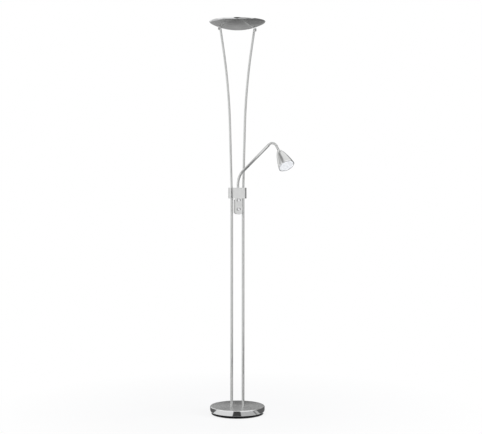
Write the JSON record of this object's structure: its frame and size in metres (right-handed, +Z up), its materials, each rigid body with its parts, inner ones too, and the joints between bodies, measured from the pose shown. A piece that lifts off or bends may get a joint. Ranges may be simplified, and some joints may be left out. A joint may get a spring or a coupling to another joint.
{
  "type": "torchiere floor lamp with reading light",
  "caption": "Floor lamp with a round weighted base, slender spreading poles, a shallow uplight dish on tilting ears and a reading light on a flexible arm.",
  "frame": {"origin": "centre of the base's underside, on the floor", "axes": "+Z up along the stand; the two poles stand side by side along X; the two knobs face -Y, the front"},
  "size_m": [0.2828, 0.5061, 1.792],
  "materials": {
    "satin_nickel": "satin, fine turned or drawn grain",
    "polished_steel": "polished",
    "zinc_steel": "plain zinc plated",
    "cast_iron": "rough cast, black primer",
    "black_plastic": "matt black",
    "felt": "black felt",
    "opal_plastic": "opal white, satin",
    "white_board": "white solder mask with LED chips",
    "green_board": "green solder mask",
    "aluminium": "plain cast",
    "white_reflector": "gloss white",
    "rubber": "matt black"
  },
  "bodies": {
    "stand": {"arm_root_socket": "satin_nickel", "base_cover": "satin_nickel", "base_felt_pad": "felt", "base_screws": "zinc_steel", "base_tray": "black_plastic", "base_weight": "cast_iron", "bracket_back": "satin_nickel", "bracket_front": "satin_nickel", "bracket_screws": "zinc_steel", "cord_gland": "rubber", "dimmer_board": "green_board", "dimmer_lower": "black_plastic", "dimmer_nuts": "zinc_steel", "dimmer_upper": "black_plastic", "front_plate": "satin_nickel", "led_driver": "black_plastic", "lower_pole_left": "satin_nickel", "lower_pole_right": "satin_nickel", "nipple_nuts_and_washers": "zinc_steel", "pivot_screws": "polished_steel", "pole_couplings": "zinc_steel", "pole_ends": "satin_nickel", "pole_nipples": "zinc_steel", "switch_housing": "satin_nickel", "upper_pole_left": "satin_nickel", "upper_pole_right": "satin_nickel"},
    "dish": {"dish_bowl": "satin_nickel", "dish_diffuser": "opal_plastic", "dish_ears": "satin_nickel", "dish_heat_spreader": "aluminium", "dish_led_board": "white_board"},
    "upper_knob": {"knob_upper": "polished_steel", "knob_shaft_upper": "zinc_steel"},
    "lower_knob": {"knob_lower": "polished_steel", "knob_shaft_lower": "zinc_steel"},
    "lower_link_1": {"lower_hose_link_1": "satin_nickel"},
    "lower_link_2": {"lower_hose_link_2": "satin_nickel"},
    "lower_link_3": {"lower_hose_link_3": "satin_nickel"},
    "lower_link_4": {"lower_hose_link_4": "satin_nickel"},
    "lower_link_5": {"lower_hose_link_5": "satin_nickel"},
    "lower_link_6": {"lower_hose_link_6": "satin_nickel"},
    "arm": {"tube_lower_collar": "satin_nickel", "arm_tube": "satin_nickel", "tube_upper_collar": "satin_nickel"},
    "upper_link_1": {"upper_hose_link_1": "satin_nickel"},
    "upper_link_2": {"upper_hose_link_2": "satin_nickel"},
    "upper_link_3": {"upper_hose_link_3": "satin_nickel"},
    "upper_link_4": {"upper_hose_link_4": "satin_nickel"},
    "upper_link_5": {"upper_hose_link_5": "satin_nickel"},
    "upper_link_6": {"upper_hose_link_6": "satin_nickel"},
    "upper_link_7": {"upper_hose_link_7": "satin_nickel"},
    "head": {"head_ferrule": "satin_nickel", "head_heat_sink": "aluminium", "head_led_board": "white_board", "head_lens": "opal_plastic", "head_nut": "zinc_steel", "head_reflector": "white_reflector", "head_rim_ring": "polished_steel", "head_screws": "zinc_steel", "head_shell": "satin_nickel"}
  },
  "joints": [
    {"name": "dish_tilt", "type": "hinge", "parent": "stand", "child": "dish", "pos_m": [0, 0, 1.757], "axis": [1, 0, 0], "range_deg": [-30, 30]},
    {"name": "upper_knob_turn", "type": "hinge", "parent": "stand", "child": "upper_knob", "pos_m": [0, -0.024, 0.98], "axis": [0, -1, 0], "range_deg": [0, 300]},
    {"name": "lower_knob_turn", "type": "hinge", "parent": "stand", "child": "lower_knob", "pos_m": [0, -0.024, 0.939], "axis": [0, -1, 0], "range_deg": [0, 300]},
    {"name": "lower_side", "type": "hinge", "parent": "stand", "child": "lower_link_1", "pos_m": [0, -0.01, 1.042], "axis": [-0.3338, 0.9426, 0], "range_deg": [-15, 15]},
    {"name": "lower_bend", "type": "hinge", "parent": "lower_link_1", "child": "lower_link_2", "pos_m": [0, -0.01, 1.054], "axis": [0.9426, 0.3338, 0], "range_deg": [-15, 7.5]},
    {"name": "lower_bend_3", "type": "hinge", "parent": "lower_link_2", "child": "lower_link_3", "pos_m": [0.0007, -0.01196, 1.06582], "axis": [0.9426, 0.3338, 0], "range_deg": [-15, 7.5]},
    {"name": "lower_side_4", "type": "hinge", "parent": "lower_link_3", "child": "lower_link_4", "pos_m": [0.00207, -0.01583, 1.07709], "axis": [-0.3025, 0.8543, 0.4226], "range_deg": [-15, 15]},
    {"name": "lower_bend_5", "type": "hinge", "parent": "lower_link_4", "child": "lower_link_5", "pos_m": [0.00407, -0.02149, 1.08749], "axis": [0.9426, 0.3338, 0], "range_deg": [-15, 7.5]},
    {"name": "lower_bend_6", "type": "hinge", "parent": "lower_link_5", "child": "lower_link_6", "pos_m": [0.00664, -0.02876, 1.09668], "axis": [0.9426, 0.3338, 0], "range_deg": [-15, 7.5]},
    {"name": "lower_side_7", "type": "hinge", "parent": "lower_link_6", "child": "arm", "pos_m": [0.00971, -0.03743, 1.10439], "axis": [-0.1915, 0.5407, 0.8192], "range_deg": [-15, 15]},
    {"name": "upper_bend", "type": "hinge", "parent": "arm", "child": "upper_link_1", "pos_m": [0.07999, -0.23588, 1.22594], "axis": [0.9426, 0.3338, 0], "range_deg": [-16.2, 5.8]},
    {"name": "upper_bend_2", "type": "hinge", "parent": "upper_link_1", "child": "upper_link_2", "pos_m": [0.08332, -0.24528, 1.2289], "axis": [0.9426, 0.3338, 0], "range_deg": [-16.2, 5.8]},
    {"name": "upper_side", "type": "hinge", "parent": "upper_link_2", "child": "upper_link_3", "pos_m": [0.08678, -0.25507, 1.22944], "axis": [0.0218, -0.0617, 0.9979], "range_deg": [-15, 15]},
    {"name": "upper_bend_4", "type": "hinge", "parent": "upper_link_3", "child": "upper_link_4", "pos_m": [0.0902, -0.26471, 1.22755], "axis": [0.9426, 0.3338, 0], "range_deg": [-16.2, 5.8]},
    {"name": "upper_bend_5", "type": "hinge", "parent": "upper_link_4", "child": "upper_link_5", "pos_m": [0.09337, -0.27367, 1.22332], "axis": [0.9426, 0.3338, 0], "range_deg": [-16.2, 5.8]},
    {"name": "upper_bend_6", "type": "hinge", "parent": "upper_link_5", "child": "upper_link_6", "pos_m": [0.09612, -0.28144, 1.21699], "axis": [0.9426, 0.3338, 0], "range_deg": [-16.2, 5.8]},
    {"name": "upper_side_7", "type": "hinge", "parent": "upper_link_6", "child": "upper_link_7", "pos_m": [0.09831, -0.28761, 1.2089], "axis": [0.2594, -0.7326, 0.6293], "range_deg": [-15, 15]},
    {"name": "upper_side_8", "type": "hinge", "parent": "upper_link_7", "child": "head", "pos_m": [0.10049, -0.29378, 1.20082], "axis": [0.2594, -0.7326, 0.6293], "range_deg": [-15, 15]}
  ],
  "couplings": [
    {"joint": "lower_bend_3", "follows": "lower_bend", "ratio": 1},
    {"joint": "lower_side_4", "follows": "lower_side", "ratio": 1},
    {"joint": "lower_bend_5", "follows": "lower_bend", "ratio": 1},
    {"joint": "lower_bend_6", "follows": "lower_bend", "ratio": 1},
    {"joint": "lower_side_7", "follows": "lower_side", "ratio": 1},
    {"joint": "upper_bend_2", "follows": "upper_bend", "ratio": 1},
    {"joint": "upper_bend_4", "follows": "upper_bend", "ratio": 1},
    {"joint": "upper_bend_5", "follows": "upper_bend", "ratio": 1},
    {"joint": "upper_bend_6", "follows": "upper_bend", "ratio": 1},
    {"joint": "upper_side_7", "follows": "upper_side", "ratio": 1},
    {"joint": "upper_side_8", "follows": "upper_side", "ratio": 1}
  ]
}
